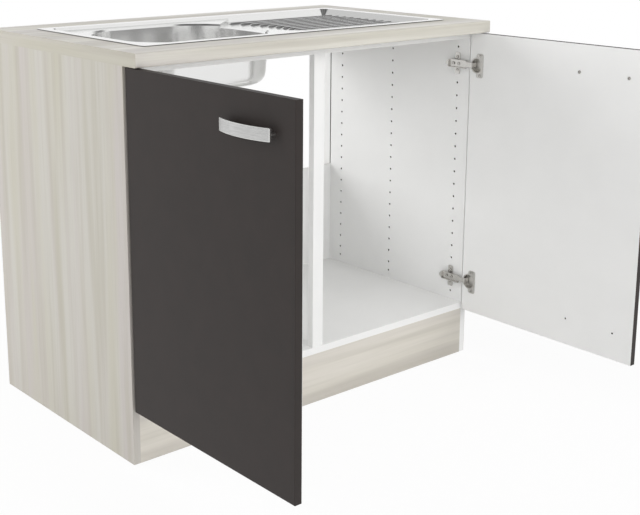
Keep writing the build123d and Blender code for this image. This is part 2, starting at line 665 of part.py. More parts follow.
def bowl_plug(grow):
    """The bowl, with a chamfered lip at the level of the deck."""
    centre = (BOWL_X, BOWL_Y)
    size = (BOWL_WIDTH + 2 * grow, BOWL_LENGTH + 2 * grow)
    hollow = plug(DECK_TOP, BOWL_DEPTH + grow, size, BOWL_CORNER_RADIUS + grow, centre, BOWL_DRAFT)
    hollow = fillet(hollow.faces().sort_by(Axis.Z)[0].edges(), BOWL_FLOOR_RADIUS + grow)
    lip_size = (size[0] + 2 * BOWL_LIP, size[1] + 2 * BOWL_LIP)
    lip_radius = BOWL_CORNER_RADIUS + grow + BOWL_LIP
    return hollow + plug(DECK_TOP, BOWL_LIP, lip_size, lip_radius, centre, BOWL_LIP_TAPER)


def throat(grow):
    """The part of the tray beside the bowl, which narrows towards it so that the tray drains."""
    left = BOWL_RIGHT - THROAT_OVERLAP - grow
    right = SINK_WIDTH / 2
    half = SINK_DEPTH / 2
    waist = PAN_LENGTH / 2 - TRAY_WALL_RUN - THROAT_CUT + grow
    shoulder = left + THROAT_CUT + half - PAN_LENGTH / 2 + TRAY_WALL_RUN
    upper = [(left, waist), (shoulder, half), (right, half)]
    lower = [(x, -y) for x, y in reversed(upper)]
    outline = make_face(Polyline(upper + lower, close=True))
    return Pos(0, SINK_Y, TRAY_TOP - grow) * extrude(outline, RIM_TOP - TRAY_TOP + grow)


def pan_plug(grow):
    """The shallow pan inside the rim: a deck round the bowl and the deeper draining tray."""
    size = (PAN_WIDTH + 2 * grow, PAN_LENGTH + 2 * grow)
    deep = plug(RIM_TOP, TRAY_DROP + grow, size, PAN_CORNER_RADIUS + grow, (0, SINK_Y), WALL_TAPER)
    above_deck = Pos(0, SINK_Y, DECK_TOP - grow) * Box(
        SINK_WIDTH, SINK_DEPTH, DECK_DROP + grow, align=(Align.CENTER, Align.CENTER, Align.MIN)
    )
    return (deep & above_deck) + (deep & throat(grow))


def rib_left_end(y):
    """The ribs' left ends follow a curve about the bowl."""
    reach = RIB_PITCH * (RIB_COUNT - 1) / 2
    return BOWL_RIGHT + RIB_LEFT_MARGIN - RIB_END_CURVE * ((y - SINK_Y) / reach) ** 2


def ribs():
    """The draining ribs on the tray's floor: tapered bars with round ends and a rounded crown."""
    right = PAN_WIDTH / 2 - TRAY_WALL_RUN - RIB_RIGHT_MARGIN
    first = SINK_Y - RIB_PITCH * (RIB_COUNT - 1) / 2
    crowned = []
    for i in range(RIB_COUNT):
        y = first + RIB_PITCH * i
        left = rib_left_end(y)
        outline = SlotOverall(right - left, RIB_WIDTH)
        rib = Pos((left + right) / 2, y, TRAY_TOP) * extrude(outline, RIB_HEIGHT, taper=RIB_TAPER)
        crown = rib.faces().sort_by(Axis.Z)[-1]
        crowned.append(fillet(crown.edges(), RIB_CROWN_RADIUS))
    return crowned


def sink_basin():
    """One pressed sheet: rim, deck, bowl and ribbed draining tray."""
    rim = slab(SINK_WIDTH, SINK_DEPTH, SINK_CORNER_RADIUS, (0, SINK_Y), (RIM_TOP - SHEET, RIM_TOP))
    drain = rod((BOWL_X, BOWL_Y, BOWL_FLOOR - 2 * SHEET), "+Z", 3 * SHEET, DRAIN_RADIUS)
    sheet = cut(rim + pan_plug(SHEET) + bowl_plug(SHEET), [pan_plug(0), bowl_plug(0), drain])
    for rib in ribs():
        sheet += rib
    return sheet


def sink_seal():
    """The foam strip between the rim and the worktop."""
    outer = slab(
        SINK_WIDTH - 2 * SEAL_INSET, SINK_DEPTH - 2 * SEAL_INSET, SINK_CORNER_RADIUS, (0, SINK_Y),
        (WORKTOP_TOP, WORKTOP_TOP + SEAL_THICKNESS),
    )
    inset = SEAL_INSET + SEAL_WIDTH
    inner = slab(
        SINK_WIDTH - 2 * inset, SINK_DEPTH - 2 * inset, SINK_CORNER_RADIUS, (0, SINK_Y),
        (WORKTOP_TOP - THROUGH, WORKTOP_TOP + SEAL_THICKNESS + THROUGH),
    )
    return outer - inner


def clip_frames():
    """Place and turn of each sink clip: local x points outwards, under the worktop."""
    half_width = CUTOUT_WIDTH / 2 - CLIP_GAP
    half_length = CUTOUT_LENGTH / 2 - CLIP_GAP
    frames = []
    for step in (-CLIP_SPACING, 0.0, CLIP_SPACING):
        frames.append(Pos(step, SINK_Y + half_length, 0) * Rot(0, 0, 90))
        frames.append(Pos(step, SINK_Y - half_length, 0) * Rot(0, 0, -90))
    for step in (-SIDE_CLIP_SPACING / 2, SIDE_CLIP_SPACING / 2):
        frames.append(Pos(half_width, SINK_Y + step, 0))
        frames.append(Pos(-half_width, SINK_Y + step, 0) * Rot(0, 0, 180))
    return frames


def sink_clip():
    """A bent strip that hangs from the rim and grips the worktop's underside with its toe."""
    half = CLIP_WIDTH / 2
    low = CARCASS_HEIGHT - 3 * CLIP_SHEET
    web = box((-CLIP_SHEET, 0), (-half, half), (low, RIM_TOP - SHEET))
    toe = box((-CLIP_SHEET, CLIP_GAP + CLIP_TOE), (-half, half), (low, low + CLIP_SHEET))
    return web + toe - clip_screw()


def clip_screw():
    """The clip's screw, which presses up against the worktop."""
    length = 5 * CLIP_SHEET
    return rod((CLIP_SCREW_REACH, 0, CARCASS_HEIGHT - length), "+Z", length, CLIP_SCREW_RADIUS)


# ---------------------------------------------------------------- waste, drawn about the drain's axis
def circle_of_places(radius, count):
    """Evenly spaced points on a circle about the drain's axis."""
    angles = [radians(TURN / count * i) for i in range(count)]
    return [(radius * cos(angle), radius * sin(angle)) for angle in angles]


def waste_rim():
    """The steel strainer cup: a flat rim on the bowl's floor and a cup through its drain hole."""
    disc = rod((0, 0, BOWL_FLOOR), "+Z", WASTE_SHEET, WASTE_RIM_RADIUS)
    cup = rod((0, 0, WASTE_CUP_FLOOR), "+Z", WASTE_CUP_DEPTH, WASTE_CUP_RADIUS)
    floor = (0, 0, WASTE_CUP_FLOOR + WASTE_SHEET)
    hollow = rod(floor, "+Z", WASTE_CUP_DEPTH, WASTE_CUP_RADIUS - WASTE_SHEET)
    low = WASTE_CUP_FLOOR - THROUGH
    height = WASTE_SHEET + 2 * THROUGH
    holes = [rod((0, 0, low), "+Z", height, WASTE_SCREW_RADIUS)]
    for x, y in circle_of_places(WASTE_HOLE_CIRCLE, WASTE_HOLE_COUNT):
        holes.append(rod((x, y, low), "+Z", height, WASTE_HOLE_RADIUS))
    return cut(disc + cup, [hollow] + holes)


def ring(z, radius, inner_radius):
    """A flat ring about the drain's axis, from a (low, high) pair of heights."""
    height = z[1] - z[0]
    hole = rod((0, 0, z[0] - THROUGH), "+Z", height + 2 * THROUGH, inner_radius)
    return rod((0, 0, z[0]), "+Z", height, radius) - hole


def waste_gasket():
    return ring((BODY_TOP, BOWL_FLOOR - SHEET), BODY_RADIUS, DRAIN_RADIUS)


def waste_body():
    """The plastic housing under the bowl, with a spider for the screw and a threaded outlet."""
    inner_radius = WASTE_CUP_RADIUS + BODY_CLEARANCE
    flange = rod((0, 0, BODY_TOP - BODY_WALL), "+Z", BODY_WALL, BODY_RADIUS)
    outside = rod((0, 0, BODY_FLOOR), "+Z", BODY_DEPTH, inner_radius + BODY_WALL)
    outlet = rod((0, 0, BODY_FLOOR - OUTLET_LENGTH), "+Z", OUTLET_LENGTH, OUTLET_RADIUS)
    hollow = rod((0, 0, BODY_FLOOR + BODY_WALL), "+Z", BODY_DEPTH, inner_radius)
    mouth = (0, 0, BODY_FLOOR - OUTLET_LENGTH - THROUGH)
    bore = rod(mouth, "+Z", OUTLET_LENGTH + 2 * BODY_WALL, OUTLET_BORE_RADIUS)
    body = cut(flange + outside + outlet, [hollow, bore])
    half = SPIDER_WIDTH / 2
    spider_z = (BODY_FLOOR, BODY_FLOOR + 2 * BODY_WALL)
    reach = OUTLET_BORE_RADIUS + BODY_WALL
    bar = box((-reach, reach), (-half, half), spider_z)
    return body + bar + Rot(0, 0, TURN / 4) * bar - waste_screw()


def waste_screw():
    """The long screw that draws the strainer cup and the housing together."""
    top = WASTE_CUP_FLOOR + WASTE_SHEET
    return screw((0, 0, top), "-Z", top - BODY_FLOOR, WASTE_SCREW_RADIUS)


def strainer_basket():
    """The lift-out basket with a rim, a sieve floor and a knob."""
    top = BASKET_FLOOR + BASKET_DEPTH
    cup = rod((0, 0, BASKET_FLOOR), "+Z", BASKET_DEPTH, BASKET_RADIUS)
    rim = rod((0, 0, top - BASKET_SHEET), "+Z", BASKET_SHEET, BASKET_RIM_RADIUS)
    hollow = rod((0, 0, BASKET_FLOOR + BASKET_SHEET), "+Z", BASKET_DEPTH, BASKET_RADIUS - BASKET_SHEET)
    basket = cup + rim - hollow
    stem = rod((0, 0, BASKET_FLOOR), "+Z", STEM_HEIGHT, STEM_RADIUS)
    knob = rod((0, 0, BASKET_FLOOR + STEM_HEIGHT), "+Z", KNOB_HEIGHT, KNOB_RADIUS)
    basket = basket + stem + knob
    low = BASKET_FLOOR - THROUGH
    for radius in BASKET_HOLE_CIRCLES:
        for x, y in circle_of_places(radius, int(2 * pi * radius / BASKET_HOLE_PITCH)):
            basket -= rod((x, y, low), "+Z", BASKET_SHEET + 2 * THROUGH, BASKET_HOLE_RADIUS)
    return basket


def basket_seal():
    """The rubber ring under the basket, which closes on the strainer cup's floor."""
    heights = (WASTE_CUP_FLOOR + WASTE_SHEET, BASKET_FLOOR)
    return ring(heights, BASKET_SEAL_RADIUS, BASKET_SEAL_RADIUS - BASKET_SEAL_WIDTH)


# ---------------------------------------------------------------- writing the nodes
def write_carcass():
    save("side_panel_right", cut(side_panel(), BRACKET_SCREWS))
    save("side_panel_left", cut(mirrored(side_panel()), BRACKET_SCREWS))
    save("bottom_shelf", bottom_shelf())
    save("plinth_panel", plinth_panel())
    save("front_rail", front_rail())
    save("rear_rail", rear_rail())
    save("centre_post", centre_post())
    save("back_panel", back_panel())
    save("worktop", worktop())
    save("wood_dowels", *on_both_sides(END_DOWELS), *POST_DOWELS)
    save("cam_bolts", *on_both_sides(CAM_BOLTS))
    save("cam_discs", *on_both_sides([cut(disc, CAM_BOLTS) for disc in CAM_DISCS]))
    save("worktop_brackets", *BRACKETS)
    save("worktop_bracket_screws", *BRACKET_SCREWS)
    save("back_panel_nails", *BACK_NAILS)


def write_sink():
    save("sink_basin", sink_basin())
    save("sink_seal", sink_seal())
    save("sink_clips", *[frame * sink_clip() for frame in clip_frames()])
    save("sink_clip_screws", *[frame * clip_screw() for frame in clip_frames()])
    drain = Pos(BOWL_X, BOWL_Y, 0)
    save("waste_rim", drain * waste_rim())
    save("waste_gasket", drain * waste_gasket())
    save("waste_body", drain * waste_body())
    save("waste_screw", drain * waste_screw())
    save("strainer_basket", drain * strainer_basket())
    save("basket_seal", drain * basket_seal())


def write_doors():
    for side, place in (("right", lambda shape: shape), ("left", mirrored)):
        save(f"door_{side}", place(door()))
        save(f"handle_{side}", place(handle()))
        save(f"handle_screws_{side}", *[place(piece) for piece in handle_screws()])
        heights = list(HINGE_HEIGHTS.items())
        for level, z in heights:
            save(f"hinge_plate_{side}_{level}", place(hinge_plate(z)))
            save(f"hinge_arm_{side}_{level}", place(hinge_arm(z)))
            save(f"hinge_cup_{side}_{level}", place(hinge_cup(z)))
        save(f"hinge_pins_{side}", *[place(hinge_pin(z)) for _, z in heights])
        for kind, screws in (("cup", cup_screws), ("plate", plate_screws), ("arm", arm_screws)):
            pieces = [place(piece) for _, z in heights for piece in screws(z)]
            save(f"hinge_{kind}_screws_{side}", *pieces)


os.makedirs("parts", exist_ok=True)
write_carcass()
write_sink()
write_doors()
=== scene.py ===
# %% [markdown]
# # A kitchen sink unit, dressed in Blender
# The drawing of the unit is already solid and to scale: boards, doors, hinges, sink and waste. It is loaded
# here as a fixed frame, and nothing is added to its shape. This lesson gives each board, metal sheet and
# screw its finish, and sets up a plain white studio round them.
# Lengths are metres, x runs to the right, y to the wall and z up.

# %% Load the frame
from math import cos, pi, radians

import bmesh
import bpy
from mathutils import Matrix, Vector


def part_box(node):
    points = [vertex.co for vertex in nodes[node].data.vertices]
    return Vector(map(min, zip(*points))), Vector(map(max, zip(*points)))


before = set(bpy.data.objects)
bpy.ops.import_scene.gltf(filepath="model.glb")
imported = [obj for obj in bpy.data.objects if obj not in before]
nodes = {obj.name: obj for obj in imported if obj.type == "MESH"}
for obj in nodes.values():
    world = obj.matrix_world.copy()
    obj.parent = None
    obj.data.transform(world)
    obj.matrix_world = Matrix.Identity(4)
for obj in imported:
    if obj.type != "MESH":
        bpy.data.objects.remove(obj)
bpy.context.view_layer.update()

# %% [markdown]
# ## The camera
# The unit is seen from its front left corner, from a little above the worktop. A long lens keeps the doors
# from spreading. A view camera would hold the uprights quite parallel by sliding its picture a long way
# down. Here the slide is small, so that the same camera can walk round the unit, and the lens looks down
# a little instead.

# %% Camera
CAMERA_PLACE = (-1.6779, -1.9129, 1.1146)
CAMERA_TURN = radians(39.749)
CAMERA_TILT = radians(13.19)
LENS_MM = 65.985
SLIDE_RIGHT, SLIDE_UP = 0.06, -0.12
camera = bpy.data.objects.new("camera", bpy.data.cameras.new("camera"))
bpy.context.scene.collection.objects.link(camera)
camera.location = CAMERA_PLACE
camera.rotation_euler = (pi / 2 - CAMERA_TILT, 0, -CAMERA_TURN)
camera.data.lens = LENS_MM
camera.data.shift_x = SLIDE_RIGHT
camera.data.shift_y = SLIDE_UP
bpy.context.scene.camera = camera
print("camera lens:", LENS_MM, "mm")

# %% [markdown]
# ## Colours and nodes
# A hex colour is how a screen stores it. The renderer counts light, so each channel is turned to linear
# first. A material could be put together by hand in the node editor. Here a helper adds a node with its
# settings and its links in a single line, which is easier to read and to change. Where an input is given
# another node, that node's first output in use is linked to it.


# %% Helpers for nodes
def linear(hex_colour):
    """An sRGB hex colour as linear red, green, blue and full opacity."""
    channels = [int(hex_colour[i : i + 2], 16) / 255 for i in (1, 3, 5)]
    light = [c / 12.92 if c <= 0.04045 else ((c + 0.055) / 1.055) ** 2.4 for c in channels]
    return (*light, 1.0)


def output_of(value):
    """A node's first output in use. Anything else stays as it is."""
    return next(o for o in value.outputs if o.enabled) if isinstance(value, bpy.types.Node) else value


def add_node(tree, kind, inputs, **settings):
    """Adds a node. Each input takes a number, a hex colour, a node or an output."""
    node = tree.nodes.new("ShaderNode" + kind)
    for name, value in settings.items():
        setattr(node, name, value)
    for key, value in inputs.items():
        in_use = [socket for socket in node.inputs if socket.enabled]
        socket = in_use[key] if isinstance(key, int) else next(s for s in in_use if s.name == key)
        value = output_of(value)
        if isinstance(value, bpy.types.NodeSocket):
            tree.links.new(value, socket)
        else:
            socket.default_value = linear(value) if isinstance(value, str) else value
    return node


print("white is", linear("#FFFFFF"))

# %% [markdown]
# ## Light
# The unit stands in a white room. An even sky lights every face, and wide lamps give the boards a little
# shade between their faces. To the eye the background is plain white. Metal and glass mirror a white room
# too, but pressed steel needs something dark beside the white to show its form. So in a mirror the room has
# a darker ceiling with two soft skylights, and darker walls between bright windows. All that could be
# modelled, but a pattern on the sky is quicker, and it surrounds the unit on every side.

# %% Sky
SKY_STRENGTH = 0.61
# The ceiling darkens between two heights of the line of sight, where 0 is level and 1 straight up.
CEILING_START, CEILING_FULL = 0.42, 0.76
CEILING_IN_MIRROR = 0.25
# A wave runs round the walls. They are dark below its first mark, and windows begin at the second.
WALL_END, WINDOW_START = -0.7, 0.2
WALL_IN_MIRROR = 0.35
WINDOWS = 5
FIRST_WINDOW = radians(200)
# Each skylight has a direction and a brightness, and fades in between two angles from its middle.
SKYLIGHTS = (((0.629, -0.229, 0.743), 1.0), ((-0.198, 0.740, 0.643), 0.7))
SKYLIGHT_RIM, SKYLIGHT_CORE = radians(27), radians(15)


def seen_rays(tree):
    """Two factors: 1 for the camera's rays, and 1 for those that metal or glass sends on."""
    path = add_node(tree, "LightPath", {})
    glossy, through = path.outputs["Is Glossy Ray"], path.outputs["Is Transmission Ray"]
    sent_on = add_node(tree, "Math", {0: glossy, 1: through}, operation="MAXIMUM")
    return path.outputs["Is Camera Ray"], sent_on


world = bpy.data.worlds.new("white room")
world.use_nodes = True
bpy.context.scene.world = world
bpy.context.scene.view_settings.view_transform = "Standard"
sky = world.node_tree
direct, mirrored = seen_rays(sky)
way = add_node(sky, "TexCoord", {})
part = add_node(sky, "SeparateXYZ", {"Vector": way}).outputs
marks = {"From Min": CEILING_START, "From Max": CEILING_FULL, "To Min": 1.0, "To Max": CEILING_IN_MIRROR}
ceiling = add_node(sky, "MapRange", {"Value": part["Z"], **marks}, interpolation_type="SMOOTHSTEP")
turned = add_node(sky, "Math", {0: part["Y"], 1: part["X"]}, operation="ARCTAN2")
turned = add_node(sky, "Math", {0: turned, 1: WINDOWS, 2: FIRST_WINDOW}, operation="MULTIPLY_ADD")
wave = add_node(sky, "Math", {0: turned}, operation="SINE")
marks = {"From Min": WALL_END, "From Max": WINDOW_START, "To Min": WALL_IN_MIRROR, "To Max": 1.0}
walls = add_node(sky, "MapRange", {"Value": wave, **marks}, interpolation_type="SMOOTHSTEP")
in_mirror = add_node(sky, "Math", {0: ceiling, 1: walls}, operation="MULTIPLY")
for skylight_way, brightness in SKYLIGHTS:
    nearness = add_node(sky, "VectorMath", {0: way, 1: skylight_way}, operation="DOT_PRODUCT")
    marks = {"From Min": cos(SKYLIGHT_RIM), "From Max": cos(SKYLIGHT_CORE), "To Max": brightness}
    skylight = add_node(sky, "MapRange", {"Value": nearness, **marks}, interpolation_type="SMOOTHSTEP")
    in_mirror = add_node(sky, "Math", {0: in_mirror, 1: skylight}, operation="MAXIMUM")
unseen = add_node(sky, "MapRange", {"Value": mirrored, "To Min": SKY_STRENGTH, "To Max": in_mirror})
strength = add_node(sky, "MapRange", {"Value": direct, "To Min": unseen, "To Max": 1.0})
background = sky.nodes["Background"]
background.inputs["Color"].default_value = linear("#FFFFFF")
sky.links.new(output_of(strength), background.inputs["Strength"])
print("sky strength:", SKY_STRENGTH)

# %% Lamps
MIDDLE = (0.0, 0.0, 0.45)
# Name, place, width and watts.
LAMPS = (
    ("lamp_camera_side", (-3.2, -2.6, 2.2), 3.2, 14),
    ("lamp_front", (0.2, -4.0, 2.8), 3.0, 76),
    ("lamp_behind", (-2.6, 3.2, 1.8), 2.6, 80),
)


def lamp(name, place, width, watts):
    """A square area lamp that faces the middle of the unit and isn't mirrored in the steel."""
    light = bpy.data.lights.new(name, "AREA")
    light.size = width
    light.energy = watts
    holder = bpy.data.objects.new(name, light)
    bpy.context.scene.collection.objects.link(holder)
    holder.location = place
    holder.rotation_euler = (Vector(MIDDLE) - Vector(place)).to_track_quat("-Z", "Y").to_euler()
    holder.visible_glossy = False
    print(name, watts, "W")


for settings in LAMPS:
    lamp(*settings)

# %% [markdown]
# ## How a finish is made
# Each finish is a shader with patterns laid over it: spots of a chosen size in millimetres. They could be
# painted on an image, but then every piece would have to be unwrapped. Noise at the object's own places
# needs no unwrapping and never repeats. The same spots change the colour, the roughness and a height far
# too small to model. Where a real pattern is finer than a picture can show, it is drawn coarser, and the
# note beside it says so.


# %% Helpers for finishes
def new_material(name, **sockets):
    """A material, its tree, its shader and the place on the object."""
    material = bpy.data.materials.new(name)
    material.use_nodes = True
    tree = material.node_tree
    shader = tree.nodes["Principled BSDF"]
    for socket, value in sockets.items():
        value = linear(value) if isinstance(value, str) else value
        shader.inputs[socket.replace("_", " ")].default_value = value
    place = add_node(tree, "TexCoord", {}).outputs["Object"]
    return material, tree, shader, place


def spots(tree, place, sizes_mm, low=0.3, high=0.7, detail=2.0, most=1.0):
    """A pattern from 0 to its most, whose spots are so many millimetres long in x, y and z."""
    scale = [1000 / size for size in sizes_mm]
    spread = add_node(tree, "Mapping", {"Vector": place, "Scale": scale})
    noise = add_node(tree, "TexNoise", {"Vector": spread, "Scale": 1.0, "Detail": detail})
    return add_node(tree, "MapRange", {"Value": noise, "From Min": low, "From Max": high, "To Max": most})


def beyond(tree, place, axis, limit, centre=None):
    """1 where a coordinate is over a limit, or where its distance from a centre is."""
    value = add_node(tree, "SeparateXYZ", {"Vector": place}).outputs[axis]
    if centre is not None:
        value = add_node(tree, "Math", {0: value, 1: centre}, operation="SUBTRACT")
        value = add_node(tree, "Math", {0: value}, operation="ABSOLUTE")
    return add_node(tree, "Math", {0: value, 1: limit}, operation="GREATER_THAN")


def finish_surface(tree, shader, colour, roughness, height=None, depth_mm=0.0):
    """Links a colour or None, a (pattern, low, high) of roughness and a height of so many mm."""
    if colour is not None:
        tree.links.new(output_of(colour), shader.inputs["Base Color"])
    pattern, low, high = roughness
    spread = add_node(tree, "MapRange", {"Value": pattern, "To Min": low, "To Max": high})
    tree.links.new(output_of(spread), shader.inputs["Roughness"])
    if height is not None:
        bump = add_node(tree, "Bump", {"Height": height, "Distance": depth_mm / 1000})
        tree.links.new(output_of(bump), shader.inputs["Normal"])


def paint(material, *names):
    """Gives a finish to pieces of the drawing by name."""
    for name in names:
        mesh = nodes[name].data
        mesh.materials.clear()
        mesh.materials.append(material)
    print(material.name, "on", len(names), "nodes")


# %% [markdown]
# ## The floor
# A sheet of white paper runs to the horizon. It isn't part of the unit. The eye and the steel see most of
# it as plain white, mixed with the real paper, so that a faint shadow is left under the unit. Further out
# the paper turns quite white, and no horizon line is left. A backdrop that curves up behind the unit would
# do for one camera. A flat sheet that glows does for every side.

# %% Floor
PAPER_GLOW = 0.93
GLOW_RISES_FROM, GLOW_FULL_FROM = 1.3, 3.5
FLOOR_HALF = 30
# The sheet lies this far under the boards, so that no face of theirs lies in it.
FLOOR_DROP = 0.001
# Uncoated paper: its matt fibres throw light every way, so the unit isn't mirrored in it. They are drawn
# several times coarser than they are.
paper, tree, shader, place = new_material("white paper", Base_Color="#FAFAFA")
fibres = spots(tree, place, sizes_mm=(6, 6, 6))
finish_surface(tree, shader, None, roughness=(fibres, 0.85, 0.95))
direct, mirrored = seen_rays(tree)
seen = add_node(tree, "Math", {0: direct, 1: mirrored}, operation="MAXIMUM")
distance = add_node(tree, "VectorMath", {0: place}, operation="LENGTH")
marks = {"From Min": GLOW_RISES_FROM, "From Max": GLOW_FULL_FROM, "To Min": PAPER_GLOW, "To Max": 1.0}
whiteness = add_node(tree, "MapRange", {"Value": distance, **marks}, interpolation_type="SMOOTHSTEP")
share = add_node(tree, "Math", {0: seen, 1: whiteness}, operation="MULTIPLY")
glow = add_node(tree, "Emission", {"Color": "#FFFFFF", "Strength": 1.0})
mixed = add_node(tree, "MixShader", {0: share, 1: shader, 2: glow})
tree.links.new(output_of(mixed), tree.nodes["Material Output"].inputs["Surface"])

sheet = bmesh.new()
under_unit = Matrix.Translation((0, 0, -FLOOR_DROP))
bmesh.ops.create_grid(sheet, x_segments=1, y_segments=1, size=FLOOR_HALF, matrix=under_unit)
floor = bpy.data.objects.new("floor", bpy.data.meshes.new("floor"))
sheet.to_mesh(floor.data)
sheet.free()
floor.data.materials.append(paper)
bpy.context.scene.collection.objects.link(floor)
print("floor ready")

# %% [markdown]
# ## Melamine boards
# The boards are chipboard faced with a paper that is printed, soaked in resin and pressed: a hard, even
# skin with a faint orange peel. The outer faces carry a pale acacia print, whose grain runs up the sides
# and along the worktop and plinth. Three widths of soft streaks, fine lines and pores lie over each other,
# each a pattern stretched along the grain. One picture of the print would repeat from board to board, and
# noise doesn't. Each kind of streak has a greyer or yellower tint of its own, and that is what makes the
# print read as wood. The lines and pores are drawn coarser than in a real print.

# %% Acacia print
ACACIA = "#C4C1B9"
WORKTOP_ACACIA = "#E6E3DC"
PLINTH_ACACIA = "#DFDAD1"
# Millimetres across and along the grain, where the noise starts and ends, the share and the tint.
GRAIN = (
    (88, 1500, 0.40, 0.60, 0.95, "#BDB9A9"),
    (52, 1100, 0.44, 0.60, 0.90, "#C1BBB7"),
    (26, 800, 0.48, 0.68, 0.55, "#B0AB9B"),
    (9, 500, 0.50, 0.74, 0.22, "#AFA99C"),
    (2.4, 110, 0.52, 0.76, 0.16, "#938E81"),
)


def acacia(tree, place, axis, colour, strength=1.0):
    """The printed colour with the grain along an axis, and its pores, which come last."""
    for across, along, low, high, share, tint in GRAIN:
        sizes = [along if letter == axis else across for letter in "XYZ"]
        streaks = spots(tree, place, sizes, low, high, most=share * strength)
        colour = add_node(tree, "Mix", {"Factor": streaks, "A": colour, "B": tint}, data_type="RGBA")
    return colour, streaks


print("streaks in the print:", len(GRAIN))

# %% [markdown]
# The worktop's laminate is the palest print. Its ends have a band of the side panels' darker print, whose
# grain runs to the wall, and its rear edge is raw chipboard, as it was sawn. The skins could be thin pieces
# of their own. They are less than a millimetre thick, so it is enough to mask the board by place: what lies
# within a skin of a face gets that face's finish.

# %% Worktop and plinth
SKIN = 0.0004
RAW = ("#A3937C", "#84745D")


def chipboard(tree, place, tones):
    """Pressed wood chips of a few millimetres in two tones, as a sawn edge or a bore shows them."""
    chips = spots(tree, place, sizes_mm=(3.5, 3.5, 1.6), low=0.35, high=0.65, detail=4.0)
    return add_node(tree, "Mix", {"Factor": chips, "A": tones[0], "B": tones[1]}, data_type="RGBA")


# Printed laminate: silky, so it shows a soft sheen but no mirror image.
_, worktop_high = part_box("worktop")
worktop_board, tree, shader, place = new_material("melamine worktop, acacia print")
colour, pores = acacia(tree, place, "X", WORKTOP_ACACIA, strength=0.8)
band, _ = acacia(tree, place, "Y", ACACIA)
at_end = beyond(tree, place, "X", worktop_high.x - SKIN, centre=0.0)
at_back = beyond(tree, place, "Y", worktop_high.y - SKIN)
banded = add_node(tree, "Mix", {"Factor": at_end, "A": colour, "B": band}, data_type="RGBA")
raw = chipboard(tree, place, RAW)
whole = add_node(tree, "Mix", {"Factor": at_back, "A": banded, "B": raw}, data_type="RGBA")
finish_surface(tree, shader, whole, roughness=(pores, 0.40, 0.52), height=pores, depth_mm=-0.02)
paint(worktop_board, "worktop")

# The plinth has the same print with weaker streaks, which looks lighter and plainer down by the floor.
plinth_board, tree, shader, place = new_material("melamine plinth, acacia print")
colour, pores = acacia(tree, place, "X", PLINTH_ACACIA, strength=0.5)
finish_surface(tree, shader, colour, roughness=(pores, 0.40, 0.52), height=pores, depth_mm=-0.02)
paint(plinth_board, "plinth_panel")

# %% [markdown]
# The side panels are printed outside and white inside. A band of the print covers the left panel's front
# edge, and the right one's band is white. The rear edges are raw. The drilled holes show as dark points:
# their walls get a darker pair of chipboard tones, painted shade for the depth of each bore. A plain
# chipboard colour would leave them too pale to see.

# %% Side panels
WHITE = "#F4F4F3"
WHITE_SHADE = "#F2F2F1"
# Darker chipboard tones for the bore walls: painted shade for the depth of each bore.
PAINTED_BORE_SHADE = ("#4E4134", "#3A3028")


def white_skin(tree, place):
    """The white melamine's colour, with a mottle so faint that it only keeps a face from looking flat."""
    mottle = spots(tree, place, sizes_mm=(90, 90, 90))
    return add_node(tree, "Mix", {"Factor": mottle, "A": WHITE, "B": WHITE_SHADE}, data_type="RGBA")


def bored(tree, place, low, high, depth, colour):
    """A board's colour, and on the walls of its bores the core, darkened as painted shade.
    They start at a depth inside the right board's box, and in its mirror image on the left."""
    part = add_node(tree, "SeparateXYZ", {"Vector": place}).outputs
    mirrored_x = add_node(tree, "Math", {0: part["X"]}, operation="ABSOLUTE")
    deep = 1.0
    for value, start, end in zip((mirrored_x, part["Y"], part["Z"]), low, high):
        offset = add_node(tree, "Math", {0: value, 1: (start + end) / 2}, operation="SUBTRACT")
        offset = add_node(tree, "Math", {0: offset}, operation="ABSOLUTE")
        within = add_node(tree, "Math", {0: offset, 1: (end - start) / 2 - depth}, operation="LESS_THAN")
        deep = add_node(tree, "Math", {0: deep, 1: within}, operation="MULTIPLY")
    # Painted shade: the bore walls take the darker chipboard tones.
    core = chipboard(tree, place, PAINTED_BORE_SHADE)
    return add_node(tree, "Mix", {"Factor": deep, "A": colour, "B": core}, data_type="RGBA")


# Printed melamine: its pores are pressed in, so the sheen breaks up along the grain.
panel_low, panel_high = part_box("side_panel_right")
side_board, tree, shader, place = new_material("melamine side panel")
colour, pores = acacia(tree, place, "Z", ACACIA)
outside = beyond(tree, place, "X", panel_high.x - SKIN, centre=0.0)
not_front = beyond(tree, place, "Y", panel_low.y + SKIN)
on_right = beyond(tree, place, "X", 0.0)
not_band = add_node(tree, "Math", {0: not_front, 1: on_right}, operation="MAXIMUM")
band = add_node(tree, "Math", {0: 1.0, 1: not_band}, operation="SUBTRACT")
in_print = add_node(tree, "Math", {0: outside, 1: band}, operation="MAXIMUM")
white = white_skin(tree, place)
skins = add_node(tree, "Mix", {"Factor": in_print, "A": white, "B": colour}, data_type="RGBA")
at_back = beyond(tree, place, "Y", panel_high.y - SKIN)
raw = chipboard(tree, place, RAW)
edged = add_node(tree, "Mix", {"Factor": at_back, "A": skins, "B": raw}, data_type="RGBA")
whole = bored(tree, place, panel_low, panel_high, SKIN, edged)
finish_surface(tree, shader, whole, roughness=(pores, 0.38, 0.5), height=pores, depth_mm=-0.02)
paint(side_board, "side_panel_left", "side_panel_right")

# %% [markdown]
# Inside, everything is white. The thin back is hardboard instead of chipboard: lacquered white on the
# inside, and bare brown felted fibre towards the wall. Pure white would clip in the light and hide the
# boards' edges, so the white stays just under it.

# %% White boards and back
# Plain white melamine: bright and clean, with an orange peel that only its sheen gives away.
white_board, tree, shader, place = new_material("melamine board, white")
peel = spots(tree, place, sizes_mm=(2.5, 2.5, 2.5))
white = white_skin(tree, place)
finish_surface(tree, shader, white, roughness=(peel, 0.36, 0.46), height=peel, depth_mm=0.015)
paint(white_board, "bottom_shelf", "front_rail", "rear_rail", "centre_post")

